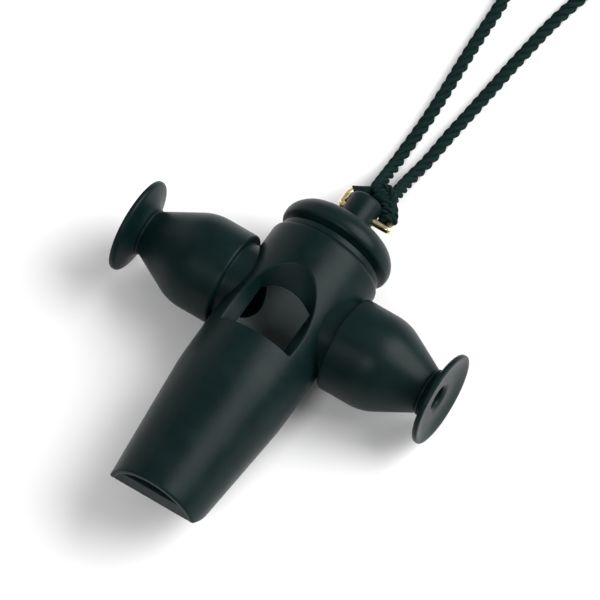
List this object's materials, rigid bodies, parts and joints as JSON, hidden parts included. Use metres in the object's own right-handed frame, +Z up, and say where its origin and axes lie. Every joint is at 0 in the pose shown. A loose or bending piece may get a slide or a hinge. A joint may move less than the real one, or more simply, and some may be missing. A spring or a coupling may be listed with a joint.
{
  "type": "three-tone whistle",
  "caption": "T-shaped turned whistle with a windway, a window, two finger-stopped side barrels, an end cap with a swinging ring and a cord.",
  "frame": {"origin": "on the table under the middle of the whistle's outline, its cord left out; the whistle lies on its back with the window up", "axes": "+Y from the mouth to the end cap, +X along the side barrels to the whistle's right seen from above with the mouth towards the viewer, +Z up through the window"},
  "size_m": [0.08, 0.2085, 0.027],
  "materials": {
    "black_wood": "satin black stain",
    "black_block": "satin black stain",
    "ring_brass": "polished",
    "black_cord": "braided"
  },
  "bodies": {
    "whistle": {"whistle_body": "black_wood", "windway_block": "black_block", "end_cap": "black_wood", "right_barrel": "black_wood", "left_barrel": "black_wood", "cord_strand_left": "black_cord", "cord_strand_right": "black_cord", "cord_coil": "black_cord"},
    "ring": {"lanyard_ring": "ring_brass", "cord_hitch": "black_cord"}
  },
  "joints": [
    {"name": "ring_swing", "type": "hinge", "parent": "whistle", "child": "ring", "pos_m": [0, 0.03734, 0.0135], "axis": [1, 0, 0], "range_deg": [-65, 115]}
  ]
}
